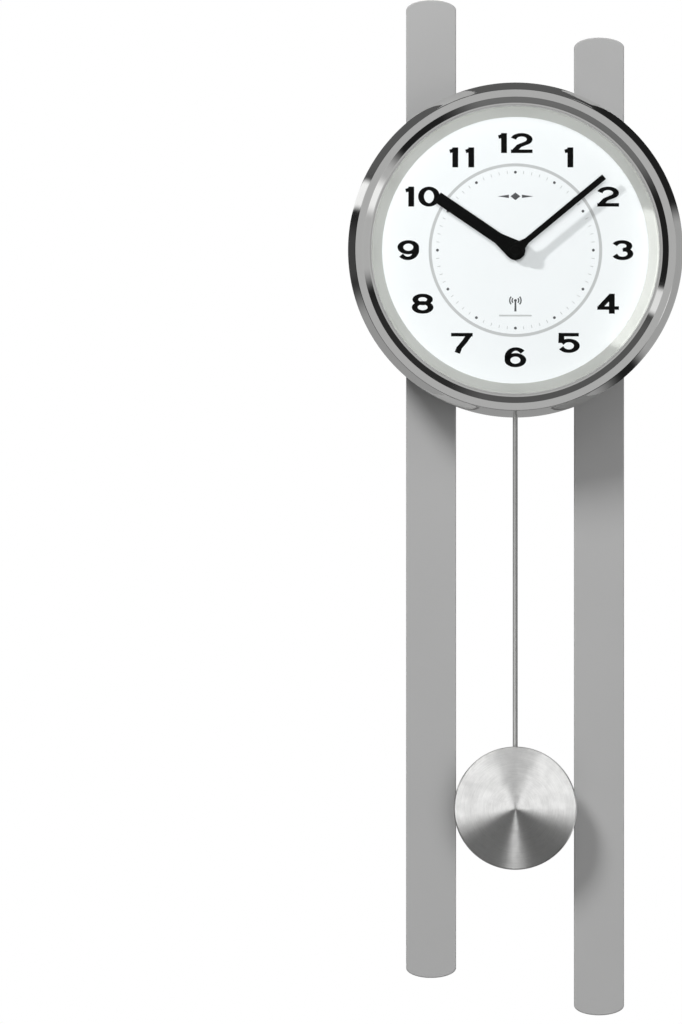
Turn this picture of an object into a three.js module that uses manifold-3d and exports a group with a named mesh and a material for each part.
// Pendulum wall clock: a round quartz clock on two upright flat bars, with a
// swinging rod and bob that hang from the movement, in front of the gap
// between the bars. Millimetres, +Z up, the front faces -Y, the wall is Y = 0.
//
// The origin is on the back face of the hanging plate, just above its keyhole.
// Most pieces are drawn in the clock frame: x to the right, y up and z away
// from the wall, with its origin on the wall behind the centre of the dial.

import * as THREE from 'three';
import { mergeVertices } from 'three/addons/utils/BufferGeometryUtils.js';
import Module from 'manifold-3d';

const wasm = await Module();
wasm.setup();

// ---------------------------------------------------------------- dimensions

const GAP = 0.3; // between pieces that touch on the real clock
const MERGE_DISTANCE = 1e-4;
const FINE_SIDES = 48; // case, bezel, dial
const SMALL_SIDES = 16; // shafts, screws, buttons

const DIAL_DROP = 83; // the dial's centre lies this far below the origin

const bar = {
  width: 30, thickness: 10, length: 588, archRise: 6, archSteps: 10,
  centreX: 50.5, back: 3.3, leftTop: 150.6, rightTop: 128.1,
};
bar.front = bar.back + bar.thickness;

const hangingPlate = {
  halfWidth: 62, bottom: 50, top: 90, thickness: 3, corner: 4,
  holeY: 62, holeRadius: 4.75, slotTopY: 74, slotRadius: 2.4,
  screwRows: [58, 82],
};

const bumper = { radius: 7, thickness: 3, fromBarEnd: 22 };

const pan = {
  back: bar.front + GAP, floor: 2, outerRadius: 93, mouthRadius: 90, ledgeRadius: 86,
  ledge: 32.2, rim: 36, windowHalfWidth: 31, windowTop: 31, windowBottom: -85,
  slotHalfWidth: 9, slotBack: 17.5, slotFront: 25, screwRows: [40, -60],
};
pan.inside = pan.back + pan.floor;

const dial = { radius: 89.5, back: pan.ledge + GAP, thickness: 1, holeRadius: 4.3 };
dial.front = dial.back + dial.thickness;

const reflector = { outerRadius: 89.5, footRadius: 80, topRadius: 85.3, wall: 1.2, top: 45.2 };
const lens = { radius: 88.5, back: reflector.top + GAP, thickness: 2 };
lens.front = lens.back + lens.thickness;

const bezel = { outerRadius: 100.5, skirtRadius: 94, back: 31, lipRadius: 85, front: 51.5 };

const movement = {
  halfWidth: 28, top: 28, bottom: -66, back: 10, split: 26, front: 30, wall: 1.6,
  bushRadius: 4, bushBore: 2.7, bushFront: 36,
};
const battery = { radius: 7.25, length: 50.5, y: 18.6, z: 17.8, capRadius: 2.75, capLength: 1.2 };
const antenna = { y: -33.5, z: 15.7, rodRadius: 2.5, rodHalf: 24, coilRadius: 3.6, coilHalf: 8 };
const circuitBoard = { halfWidth: 24, bottom: -17.5, top: 8.5, back: 12, thickness: 1.2 };

const toothModule = 0.5;
const minuteWheel = { teeth: 36, back: 19, thickness: 1.2 };
const cannonPinion = { teeth: 8, back: 21.4, thickness: 1.8 };
const motionWheel = { teeth: 24, back: 21.7, thickness: 1.2, pinionTeeth: 7 };
const hourWheel = { teeth: 28, back: 23.9, thickness: 1.1, pipeRadius: 2.3, pipeBore: 1.3, pipeEnd: 38.1 };
const driveWheel = { teeth: 30, back: 17, thickness: 1.2, pinionTeeth: 6 };
const rotorPinion = { teeth: 6, back: 16.6, thickness: 1.8 };
const arborRadius = 0.9;

const motionDistance = (toothModule * (cannonPinion.teeth + motionWheel.teeth)) / 2;
const hourModule = (2 * motionDistance) / (motionWheel.pinionTeeth + hourWheel.teeth);
const driveDistance = (toothModule * (minuteWheel.teeth + driveWheel.pinionTeeth)) / 2;
const rotorDistance = (toothModule * (driveWheel.teeth + rotorPinion.teeth)) / 2;
const motionBearing = degrees(-60);
const driveBearing = degrees(225);
const rotorBearing = degrees(250);
const motionCentre = polar([0, 0], motionDistance, motionBearing);
const driveCentre = polar([0, 0], driveDistance, driveBearing);
const rotorCentre = polar(driveCentre, rotorDistance, rotorBearing);

const hourHand = { length: 56.5, width: 6.9, hubRadius: 5, bore: 2.55, back: 36.9, thickness: 0.8 };
const minuteHand = { length: 69, width: 3.6, hubRadius: 4.2, bore: 1.15, back: 39.9, thickness: 0.8 };
const handNut = { radius: 3, back: 41, thickness: 1.5, bore: 1.1 };
const minuteAngle = degrees(50.4); // eight minutes past, clockwise from twelve
const hourAngle = degrees(304.2); // ten o'clock and eight minutes

const fixingNut = { acrossCorners: 12.7, bore: 4.3, back: dial.front + GAP, thickness: 1.6 };
const washer = { innerRadius: 4.3, outerRadius: 10, back: movement.front + GAP, thickness: 1.9 };

const stator = { back: 14.6, thickness: 1.2, holeRadius: 3.6, coreY: -22.5, coreHalf: 1.5, coreEnd: 21 };
const motorCoil = { halfSize: 2.9, start: -1, end: 18 };
const rotorMagnet = { radius: 3, back: 14.2, thickness: 2 };

const pivot = { y: -34, pinRadius: 1, pinBack: 20, pinFront: 27.8, bossRadius: 3, bossBore: 1.15 };
const lever = { back: 23.2, thickness: 1.2, halfWidth: 3, bottom: -73, tongueRadius: 1.2, tongueY: -70.5 };
const leverMagnet = { radius: 4, thickness: 3.4, y: -55 };
leverMagnet.back = lever.back - GAP - leverMagnet.thickness;
const driveCoil = { radius: 6, bore: 1.6, back: 11.9, thickness: 6.9 };

const rod = { radius: 1.5, centreZ: 21.2, eyeHalfWidth: 3.5, eyeTop: -67, eyeBottom: -77, eyeThickness: 1.2 };
const bob = { centreY: -335.1, radius: 37, back: 27.2, rimFront: 30.3, apex: 38.6, shell: 1 };
const bobWeight = { radius: 35.6, back: 27.2, thickness: 1.7, bore: 2.2 };
const bobClip = { halfWidth: 7, halfHeight: 11, back: 18.4, channel: 1.8 };
bobClip.front = bobWeight.back - GAP;
rod.bottom = bob.centreY - 17;

// ------------------------------------------------------------------ finishes

function finish(color, roughness, metalness) {
  return new THREE.MeshStandardMaterial({ color, roughness, metalness });
}

const silverLacquer = finish('#b4b4b2', 0.5, 0.6);
const chrome = finish('#d8dadc', 0.12, 1);
const spunAluminium = finish('#d5d5d3', 0.35, 1);
const galvanisedSteel = finish('#a9acae', 0.45, 1);
const steel = finish('#9c9ea0', 0.35, 1);
const brass = finish('#b89b52', 0.35, 1);
const copper = finish('#a5572c', 0.4, 0.8);
const dialWhite = finish('#f4f6f7', 0.6, 0);
const handBlack = finish('#141414', 0.4, 0);
const blackPlastic = finish('#202122', 0.55, 0);
const greyPlastic = finish('#8f9293', 0.55, 0);
const whitePlastic = finish('#dedcd4', 0.5, 0);
const rubber = finish('#1b1b1b', 0.9, 0);
const ferrite = finish('#2c2b2b', 0.7, 0);
const boardGreen = finish('#24583a', 0.5, 0);
const batteryJacket = finish('#31506b', 0.35, 0.2);
const glass = new THREE.MeshStandardMaterial({
  color: '#f2f6f6', roughness: 0.03, metalness: 0, transparent: true, opacity: 0.15,
});

// ------------------------------------------------------------------- helpers

function degrees(angle) {
  return THREE.MathUtils.degToRad(angle);
}

function polar([x, y], distance, angle) {
  return [x + distance * Math.cos(angle), y + distance * Math.sin(angle)];
}

// A closed geometry as a manifold solid, without the triangles that have
// shrunk to a line on a lathe's axis.
function toSolid(geometry) {
  const bare = geometry.clone();
  bare.deleteAttribute('normal');
  bare.deleteAttribute('uv');
  const merged = mergeVertices(bare, MERGE_DISTANCE);
  const index = merged.index.array;
  const triVerts = [];
  for (let i = 0; i < index.length; i += 3) {
    const [a, b, c] = index.subarray(i, i + 3);
    if (a !== b && b !== c && c !== a) triVerts.push(a, b, c);
  }
  const vertProperties = merged.attributes.position.array;
  return new wasm.Manifold(new wasm.Mesh({ numProp: 3, vertProperties, triVerts: new Uint32Array(triVerts) }));
}

function toGeometry(solid) {
  const mesh = solid.getMesh();
  const geometry = new THREE.BufferGeometry();
  geometry.setAttribute('position', new THREE.BufferAttribute(new Float32Array(mesh.vertProperties), 3));
  geometry.setIndex(new THREE.BufferAttribute(new Uint32Array(mesh.triVerts), 1));
  geometry.computeVertexNormals();
  return geometry;
}

function cut(body, ...tools) {
  return toGeometry(tools.reduce((rest, tool) => rest.subtract(toSolid(tool)), toSolid(body)));
}

function join(body, ...others) {
  return toGeometry(others.reduce((whole, other) => whole.add(toSolid(other)), toSolid(body)));
}

// A flat outline, extruded from depth z0 to depth z1.
function slab(shape, z0, z1, curveSegments = 6) {
  const geometry = new THREE.ExtrudeGeometry(shape, { depth: z1 - z0, bevelEnabled: false, curveSegments });
  return geometry.translate(0, 0, z0);
}

function block(x0, x1, y0, y1, z0, z1) {
  const geometry = new THREE.BoxGeometry(x1 - x0, y1 - y0, z1 - z0);
  return geometry.translate((x0 + x1) / 2, (y0 + y1) / 2, (z0 + z1) / 2);
}

// A turned piece: its profile is a list of [radius, z], anticlockwise.
function turned(profile, sides = SMALL_SIDES, [x, y] = [0, 0]) {
  const points = profile.map(([radius, z]) => new THREE.Vector2(radius, z));
  return new THREE.LatheGeometry(points, sides).rotateX(Math.PI / 2).translate(x, y, 0);
}

function disc(radius, z0, z1, centre = [0, 0], sides = SMALL_SIDES) {
  return turned([[0, z0], [radius, z0], [radius, z1], [0, z1]], sides, centre);
}

function ring(innerRadius, outerRadius, z0, z1, centre = [0, 0], sides = SMALL_SIDES) {
  const profile = [
    [innerRadius, z0], [outerRadius, z0], [outerRadius, z1], [innerRadius, z1], [innerRadius, z0],
  ];
  return turned(profile, sides, centre);
}

// A bar or tube that lies along x.
function alongX(geometry, y, z) {
  return geometry.rotateY(Math.PI / 2).translate(0, y, z);
}

function roundedRectangle(x0, x1, y0, y1, radius) {
  const shape = new THREE.Shape();
  shape.absarc(x1 - radius, y1 - radius, radius, 0, Math.PI / 2);
  shape.absarc(x0 + radius, y1 - radius, radius, Math.PI / 2, Math.PI);
  shape.absarc(x0 + radius, y0 + radius, radius, Math.PI, Math.PI * 1.5);
  shape.absarc(x1 - radius, y0 + radius, radius, Math.PI * 1.5, Math.PI * 2);
  return shape;
}

// A wheel with straight-flanked teeth and backlash; one tooth points along
// the angle `phase`.
function toothedSlab(teeth, module, phase, z0, z1, [x, y] = [0, 0]) {
  const pitch = (Math.PI * 2) / teeth;
  const root = (module * teeth) / 2 - 1.05 * module;
  const tip = (module * teeth) / 2 + 0.75 * module;
  const points = [];
  for (let tooth = 0; tooth < teeth; tooth += 1) {
    const angle = phase + tooth * pitch;
    points.push(polar([x, y], root, angle - 0.26 * pitch));
    points.push(polar([x, y], tip, angle - 0.1 * pitch));
    points.push(polar([x, y], tip, angle + 0.1 * pitch));
    points.push(polar([x, y], root, angle + 0.26 * pitch));
  }
  return slab(new THREE.Shape(points.map((point) => new THREE.Vector2(...point))), z0, z1);
}

// The phase that puts a gap of a wheel opposite its neighbour's tooth, given
// that the neighbour, lying along `bearing`, has a tooth on the line between.
function gapTowards(bearing, teeth) {
  return bearing + Math.PI / teeth;
}

// ------------------------------------------------------------ bars and plate

function barShape() {
  const half = bar.width / 2;
  const shape = new THREE.Shape();
  shape.absellipse(0, -bar.archRise, half, bar.archRise, 0, Math.PI, false);
  shape.absellipse(0, bar.archRise - bar.length, half, bar.archRise, Math.PI, Math.PI * 2, false);
  return shape;
}

// A flat bar with arched ends and blind screw holes from the back and front.
function flatBar(centreX, top) {
  const body = slab(barShape(), bar.back, bar.front, bar.archSteps).translate(centreX, top, 0);
  const backHoles = hangingPlate.screwRows.map((y) => disc(2.3, bar.back - 1, bar.back + 7.3, [centreX, y], 10));
  const frontHoles = pan.screwRows.map((y) => disc(2.3, bar.front - 7.3, bar.front + 1, [centreX, y], 10));
  return cut(body, ...backHoles, ...frontHoles);
}

function keyhole() {
  const { holeY, holeRadius, slotTopY, slotRadius, thickness } = hangingPlate;
  const entry = disc(holeRadius, -1, thickness + 1, [0, holeY]);
  const slot = block(-slotRadius, slotRadius, holeY, slotTopY, -1, thickness + 1);
  const slotEnd = disc(slotRadius, -1, thickness + 1, [0, slotTopY]);
  return join(entry, slot, slotEnd);
}

function plateWithKeyhole() {
  const { halfWidth, bottom, top, thickness, corner, screwRows } = hangingPlate;
  const body = slab(roundedRectangle(-halfWidth, halfWidth, bottom, top, corner), 0, thickness, 3);
  const sinks = [];
  for (const x of [-bar.centreX, bar.centreX]) {
    for (const y of screwRows) {
      sinks.push(turned([[0, -1], [4.4, -1], [4.4, 0.3], [2.35, 2.6], [2.35, 4], [0, 4]], 12, [x, y]));
    }
  }
  return cut(body, keyhole(), ...sinks);
}

// A countersunk screw whose head lies flush in the back of the plate.
function plateScrew(x, y) {
  const body = turned([[0, 0.1], [3.9, 0.1], [3.9, 0.4], [2, 2.3], [2, 10], [0, 10]], 12, [x, y]);
  return cut(body, disc(1.2, -0.5, 1.4, [x, y], 6));
}

// A pan-head screw that holds the case to a bar, from inside the case.
function caseScrew(x, y) {
  const head = pan.inside + GAP;
  const profile = [[0, bar.front - 7], [2, bar.front - 7], [2, head], [4, head], [3.8, head + 1.8], [2.8, head + 2.4]];
  const body = turned([...profile, [0, head + 2.4]], 12, [x, y]);
  return cut(body, disc(1.3, head + 1, head + 3, [x, y], 6));
}

// ---------------------------------------------------------------------- case

function casePan() {
  const profile = [
    [0, pan.back], [pan.outerRadius - 2, pan.back], [pan.outerRadius, pan.back + 2],
    [pan.outerRadius, pan.rim], [pan.mouthRadius, pan.rim], [pan.mouthRadius, pan.ledge],
    [pan.ledgeRadius, pan.ledge], [pan.ledgeRadius, pan.inside], [0, pan.inside],
  ];
  const body = turned(profile, FINE_SIDES);
  const { windowHalfWidth, windowTop, windowBottom } = pan;
  const rearWindow = block(-windowHalfWidth, windowHalfWidth, windowBottom, windowTop, pan.back - 1, pan.inside + 1);
  const rodSlot = block(-pan.slotHalfWidth, pan.slotHalfWidth, -pan.outerRadius - 1, -80, pan.slotBack, pan.slotFront);
  const screwHoles = [];
  for (const x of [-bar.centreX, bar.centreX]) {
    for (const y of pan.screwRows) screwHoles.push(disc(2.3, pan.back - 1, pan.inside + 1, [x, y], 10));
  }
  return cut(body, rearWindow, rodSlot, ...screwHoles);
}

// The chrome ring: an outer bevel, a rounded crown, a hollow and a thin lip.
function bezelRing() {
  const { outerRadius, skirtRadius, back, lipRadius, front } = bezel;
  const under = lens.front + GAP;
  const profile = [
    [skirtRadius, back], [outerRadius, back], [outerRadius, 40.5], [99.3, 44.8], [96.6, 49.2],
    [94.4, front], [91.8, 50.2], [88.4, 49], [86, 49.6], [lipRadius, 49],
    [lipRadius, under], [90.3, under], [skirtRadius, 45], [skirtRadius, back],
  ];
  return turned(profile, FINE_SIDES);
}

// The sloped ring between the dial and the lens.
function reflectorRing() {
  const { outerRadius, footRadius, topRadius, wall, top } = reflector;
  const foot = dial.front + GAP;
  const profile = [
    [footRadius, foot], [outerRadius, foot], [outerRadius, top], [topRadius, top], [footRadius, foot + wall],
    [footRadius, foot],
  ];
  return turned(profile, FINE_SIDES);
}

// ----------------------------------------------------------------- the hands

// A baton hand that points up, with a round hub and a bore for its arbor.
function batonHand({ length, width, hubRadius, bore, back, thickness }) {
  const baton = block(-width / 2, width / 2, 0, length, back, back + thickness);
  const hub = disc(hubRadius, back, back + thickness, [0, 0], 20);
  return cut(join(baton, hub), disc(bore, back - 1, back + thickness + 1));
}

// ------------------------------------------------------------- the movement

function frontHousing() {
  const { halfWidth, top, bottom, split, front, wall, bushRadius, bushBore, bushFront } = movement;
  const shell = slab(roundedRectangle(-halfWidth, halfWidth, bottom, top, 3), split, front, 2);
  const hollow = block(-halfWidth + wall, halfWidth - wall, bottom + wall, top - wall, split - 1, front - wall);
  const bush = disc(bushRadius, front - wall, bushFront);
  const bushHole = disc(bushBore, split, bushFront + 1);
  const leverWay = block(-8, 8, bottom - 1, bottom + wall + 1, split - 1, front - wall - 0.4);
  return cut(join(cut(shell, hollow), bush), bushHole, leverWay);
}

// Where the three push buttons stand on the back: name, x, y and radius.
const buttons = [
  { name: 'set_button', x: -17, y: 2, radius: 2.4, proud: 1.1 },
  { name: 'wave_button', x: 17, y: 2, radius: 2.4, proud: 1.1 },
  { name: 'reset_button', x: 17, y: -8, radius: 1.5, proud: 0.1 },
];

function rearHousing() {
  const { halfWidth, top, bottom, back, split, wall } = movement;
  const far = split - GAP;
  const shell = slab(roundedRectangle(-halfWidth, halfWidth, bottom, top, 3), back, far, 2);
  const batteryFloor = battery.y - battery.radius - 1.4;
  const gearRoom = block(
    -halfWidth + wall, halfWidth - wall, bottom + wall, batteryFloor, back + wall, far + 1,
  );
  const batteryRoom = block(
    -halfWidth + 1, halfWidth - 1, batteryFloor + 1, battery.y + battery.radius + 0.5, back - 1, far - 0.3,
  );
  const leverWay = block(-10, 10, bottom - 1, bottom + wall + 1, 17, far + 1);
  const buttonHoles = buttons.map(({ x, y, radius }) => disc(radius + 0.35, back - 1, back + wall + 1, [x, y]));
  return cut(shell, gearRoom, batteryRoom, leverWay, ...buttonHoles);
}

function batteryCell() {
  const { radius, length, capRadius, capLength, y, z } = battery;
  const half = length / 2;
  const profile = [
    [0, -half], [radius - 0.6, -half], [radius, -half + 0.6], [radius, half - capLength - 0.6],
    [radius - 0.6, half - capLength], [capRadius, half - capLength], [capRadius, half], [0, half],
  ];
  const points = profile.map(([r, along]) => new THREE.Vector2(r, along));
  return new THREE.LatheGeometry(points, SMALL_SIDES).rotateZ(-Math.PI / 2).translate(0, y, z);
}

// The flat tab that the battery's cap presses on.
function positiveContact() {
  const x = battery.length / 2 + GAP;
  return block(x, x + 0.5, battery.y - 4, battery.y + 4, 12, 24);
}

// The leaf behind the battery's flat end, with its raised dimple.
function negativeContact() {
  const x = -battery.length / 2 - GAP;
  const plate = block(x - 0.8, x - 0.4, battery.y - 5, battery.y + 5, 12, 24);
  const nub = alongX(disc(2.6, x - 0.6, x), battery.y, battery.z);
  return join(plate, nub);
}

function centreWheel() {
  const { teeth, back, thickness } = minuteWheel;
  const wheel = toothedSlab(teeth, toothModule, gapTowards(driveBearing, teeth), back, back + thickness);
  const pinionPhase = gapTowards(motionBearing, cannonPinion.teeth);
  const pinionFront = cannonPinion.back + cannonPinion.thickness;
  const pinion = toothedSlab(cannonPinion.teeth, toothModule, pinionPhase, cannonPinion.back, pinionFront);
  const arbor = disc(arborRadius, 18, 42.3, [0, 0], 12);
  return join(wheel, pinion, arbor);
}

// The motion-work wheel meets the cannon pinion, and its pinion the hour wheel.
function motionWorkWheel() {
  const { teeth, back, thickness, pinionTeeth } = motionWheel;
  const towardsCentre = motionBearing + Math.PI;
  const wheel = toothedSlab(teeth, toothModule, towardsCentre, back, back + thickness, motionCentre);
  const pinionEnd = hourWheel.back + hourWheel.thickness + 0.3;
  const pinion = toothedSlab(pinionTeeth, hourModule, towardsCentre, back, pinionEnd, motionCentre);
  const arbor = disc(0.6, minuteWheel.back + minuteWheel.thickness + 0.6, 27.8, motionCentre, 8);
  return join(wheel, pinion, arbor);
}

function hourWheelWithPipe() {
  const { teeth, back, thickness, pipeRadius, pipeBore, pipeEnd } = hourWheel;
  const wheel = toothedSlab(teeth, hourModule, gapTowards(motionBearing, teeth), back, back + thickness);
  const pipe = disc(pipeRadius, back, pipeEnd);
  return cut(join(wheel, pipe), disc(pipeBore, back - 1, pipeEnd + 1));
}

function driveWheelWithPinion() {
  const { teeth, back, thickness, pinionTeeth } = driveWheel;
  const wheel = toothedSlab(teeth, toothModule, gapTowards(rotorBearing, teeth), back, back + thickness, driveCentre);
  const pinion = toothedSlab(pinionTeeth, toothModule, driveBearing + Math.PI, back, 20.8, driveCentre);
  const arbor = disc(0.6, 15.6, 27.8, driveCentre, 8);
  return join(wheel, pinion, arbor);
}

function rotorWithPinion() {
  const { back, thickness, teeth } = rotorPinion;
  const magnet = disc(rotorMagnet.radius, rotorMagnet.back, rotorMagnet.back + rotorMagnet.thickness, rotorCentre);
  const pinion = toothedSlab(teeth, toothModule, rotorBearing + Math.PI, 16.2, back + thickness, rotorCentre);
  const arbor = disc(0.5, 13.6, 27.8, rotorCentre, 8);
  return join(magnet, pinion, arbor);
}

function statorPlate() {
  const { back, thickness, holeRadius, coreY, coreHalf, coreEnd } = stator;
  const [x, y] = rotorCentre;
  const poles = block(x - 6, x + 6, coreY - coreHalf, y + 5, back, back + thickness);
  const core = block(x, coreEnd, coreY - coreHalf, coreY + coreHalf, back, back + thickness);
  return cut(join(poles, core), disc(holeRadius, back - 1, back + thickness + 1, rotorCentre));
}

function motorCoilOnCore() {
  const { halfSize, start, end } = motorCoil;
  const { coreY, back, thickness, coreHalf } = stator;
  const middle = back + thickness / 2;
  const outside = block(start, end, coreY - halfSize, coreY + halfSize, middle - halfSize, middle + halfSize);
  const wayY = coreHalf + GAP;
  const wayZ = thickness / 2 + GAP;
  return cut(outside, block(start - 1, end + 1, coreY - wayY, coreY + wayY, middle - wayZ, middle + wayZ));
}

// ------------------------------------------------------------- the pendulum

function pendulumLever() {
  const { back, thickness, halfWidth, bottom, tongueRadius, tongueY } = lever;
  const centre = [0, pivot.y];
  const arm = slab(roundedRectangle(-halfWidth, halfWidth, bottom, pivot.y, 1), back, back + thickness, 2);
  const boss = disc(pivot.bossRadius, 21, 27, centre);
  const tongue = disc(tongueRadius, 19.4, back + 0.5, [0, tongueY], 12);
  return cut(join(arm, boss, tongue), disc(pivot.bossBore, 20, 28, centre));
}

// A round rod whose top end is pressed flat into an eye.
function pendulumRod() {
  const { radius, centreZ, eyeHalfWidth, eyeTop, eyeBottom, eyeThickness, bottom } = rod;
  const shaft = new THREE.CylinderGeometry(radius, radius, eyeBottom + 3 - bottom, 12);
  shaft.translate(0, (eyeBottom + 3 + bottom) / 2, centreZ);
  const [z0, z1] = [centreZ - eyeThickness / 2, centreZ + eyeThickness / 2];
  const eye = slab(roundedRectangle(-eyeHalfWidth, eyeHalfWidth, eyeBottom, eyeTop, 2), z0, z1, 3);
  const way = disc(1.6, z0 - 2, z1 + 2, [0, lever.tongueY], 12);
  return cut(join(shaft, eye), way);
}

function bobCone() {
  const { radius, back, rimFront, apex, shell, centreY } = bob;
  const inner = bobWeight.radius + GAP;
  const innerEdge = back + bobWeight.thickness + GAP;
  const profile = [
    [inner, back], [radius, back], [radius, rimFront - 0.6], [radius - 0.6, rimFront], [0, apex],
    [0, apex - shell], [inner, innerEdge], [inner, back],
  ];
  return turned(profile, FINE_SIDES, [0, centreY]);
}

function bobClipWithChannel() {
  const { halfWidth, halfHeight, back, front, channel } = bobClip;
  const outline = roundedRectangle(-halfWidth, halfWidth, bob.centreY - halfHeight, bob.centreY + halfHeight, 2);
  const way = new THREE.CylinderGeometry(channel, channel, 4 * halfHeight, 12).translate(0, bob.centreY, rod.centreZ);
  const rivetHole = disc(bobWeight.bore, 23.6, front + 1, [0, bob.centreY], 12);
  return cut(slab(outline, back, front, 3), way, rivetHole);
}

// The rivet that joins the clip to the bob's weight.
function bobRivet() {
  const front = bobWeight.back + bobWeight.thickness + GAP;
  const profile = [[0, 24], [1.9, 24], [1.9, front], [4, front], [3.4, front + 1], [0, front + 1]];
  return turned(profile, 12, [0, bob.centreY]);
}

// ----------------------------------------------------------------- assembly

const clock = new THREE.Group();
clock.name = 'pendulum_wall_clock';

const clockFrame = new THREE.Group();
clockFrame.rotation.x = Math.PI / 2;
clockFrame.position.z = -DIAL_DROP;
clock.add(clockFrame);

function add(name, geometry, material) {
  const mesh = new THREE.Mesh(geometry, material);
  mesh.name = name;
  clockFrame.add(mesh);
  return mesh;
}

function addBarsAndPlate() {
  const bars = [
    { side: 'left', x: -bar.centreX, top: bar.leftTop },
    { side: 'right', x: bar.centreX, top: bar.rightTop },
  ];
  add('hanging_plate', plateWithKeyhole(), galvanisedSteel);
  for (const { side, x, top } of bars) {
    add(`${side}_bar`, flatBar(x, top), silverLacquer);
    const bumperY = top - bar.length + bumper.fromBarEnd;
    add(`${side}_wall_bumper`, disc(bumper.radius, 0, bumper.thickness, [x, bumperY]), rubber);
    hangingPlate.screwRows.forEach((y, row) => {
      add(`plate_screw_${side}_${row + 1}`, plateScrew(x, y), steel);
    });
    pan.screwRows.forEach((y, row) => {
      add(`case_screw_${side}_${row + 1}`, caseScrew(x, y), steel);
    });
  }
}

function addCase() {
  add('case_pan', casePan(), greyPlastic);
  add('dial', ring(dial.holeRadius, dial.radius, dial.back, dial.front, [0, 0], FINE_SIDES), dialWhite);
  add('reflector_ring', reflectorRing(), spunAluminium);
  add('lens', disc(lens.radius, lens.back, lens.front, [0, 0], FINE_SIDES), glass);
  add('bezel', bezelRing(), chrome);
}

function addHands() {
  add('hour_hand', batonHand(hourHand), handBlack).rotation.z = -hourAngle;
  add('minute_hand', batonHand(minuteHand), handBlack).rotation.z = -minuteAngle;
  const { radius, back, thickness, bore } = handNut;
  const nut = cut(disc(radius, back, back + thickness, [0, 0], 20), disc(bore, back - 1, back + thickness - 0.1));
  add('hand_nut', nut, handBlack);
}

function addMovementCase() {
  add('front_housing', frontHousing(), blackPlastic);
  add('rear_housing', rearHousing(), blackPlastic);
  const { innerRadius, outerRadius, back, thickness } = washer;
  add('rubber_washer', ring(innerRadius, outerRadius, back, back + thickness), rubber);
  const nutFront = fixingNut.back + fixingNut.thickness;
  const nut = cut(
    disc(fixingNut.acrossCorners / 2, fixingNut.back, nutFront, [0, 0], 6),
    disc(fixingNut.bore, fixingNut.back - 1, nutFront + 1),
  );
  add('fixing_nut', nut, brass);
  for (const { name, x, y, radius, proud } of buttons) {
    const buttonBack = movement.back - proud;
    add(name, disc(radius, buttonBack, circuitBoard.back - 1, [x, y]), whitePlastic);
  }
}

function addGearTrain() {
  add('centre_wheel', centreWheel(), brass);
  add('motion_work_wheel', motionWorkWheel(), whitePlastic);
  add('hour_wheel', hourWheelWithPipe(), whitePlastic);
  add('drive_wheel', driveWheelWithPinion(), whitePlastic);
  add('rotor', rotorWithPinion(), steel);
}

function addElectrics() {
  const { halfWidth, bottom, top, back, thickness } = circuitBoard;
  add('circuit_board', block(-halfWidth, halfWidth, bottom, top, back, back + thickness), boardGreen);
  add('quartz_crystal', alongX(disc(1.5, -12, -4), 4.5, back + thickness + GAP + 1.5), steel);
  add('stator', statorPlate(), steel);
  add('motor_coil', motorCoilOnCore(), copper);
  const { rodRadius, rodHalf, coilRadius, coilHalf } = antenna;
  const ferriteRod = disc(rodRadius, -rodHalf, rodHalf, [0, 0], 12);
  add('ferrite_rod', alongX(ferriteRod, antenna.y, antenna.z), ferrite);
  const winding = ring(rodRadius + GAP, coilRadius, -coilHalf, coilHalf, [0, 0], 12);
  add('antenna_coil', alongX(winding, antenna.y, antenna.z), copper);
  add('battery', batteryCell(), batteryJacket);
  add('positive_contact', positiveContact(), steel);
  add('negative_contact', negativeContact(), steel);
  const { radius, bore, back: coilBack, thickness: coilDepth } = driveCoil;
  add('drive_coil', ring(bore, radius, coilBack, coilBack + coilDepth, [0, leverMagnet.y], 20), copper);
}

function addPendulum() {
  const { radius, back, thickness, y } = leverMagnet;
  add('lever_pivot_pin', disc(pivot.pinRadius, pivot.pinBack, pivot.pinFront, [0, pivot.y]), steel);
  add('pendulum_lever', pendulumLever(), whitePlastic);
  add('lever_magnet', disc(radius, back, back + thickness, [0, y]), steel);
  add('pendulum_rod', pendulumRod(), steel);
  add('bob_cone', bobCone(), spunAluminium);
  const weightFront = bobWeight.back + bobWeight.thickness;
  const centre = [0, bob.centreY];
  const weight = ring(bobWeight.bore, bobWeight.radius, bobWeight.back, weightFront, centre, FINE_SIDES);
  add('bob_weight', weight, galvanisedSteel);
  add('bob_clip', bobClipWithChannel(), blackPlastic);
  add('bob_rivet', bobRivet(), steel);
}

addBarsAndPlate();
addCase();
addMovementCase();
addGearTrain();
addElectrics();
addHands();
addPendulum();

export default clock;
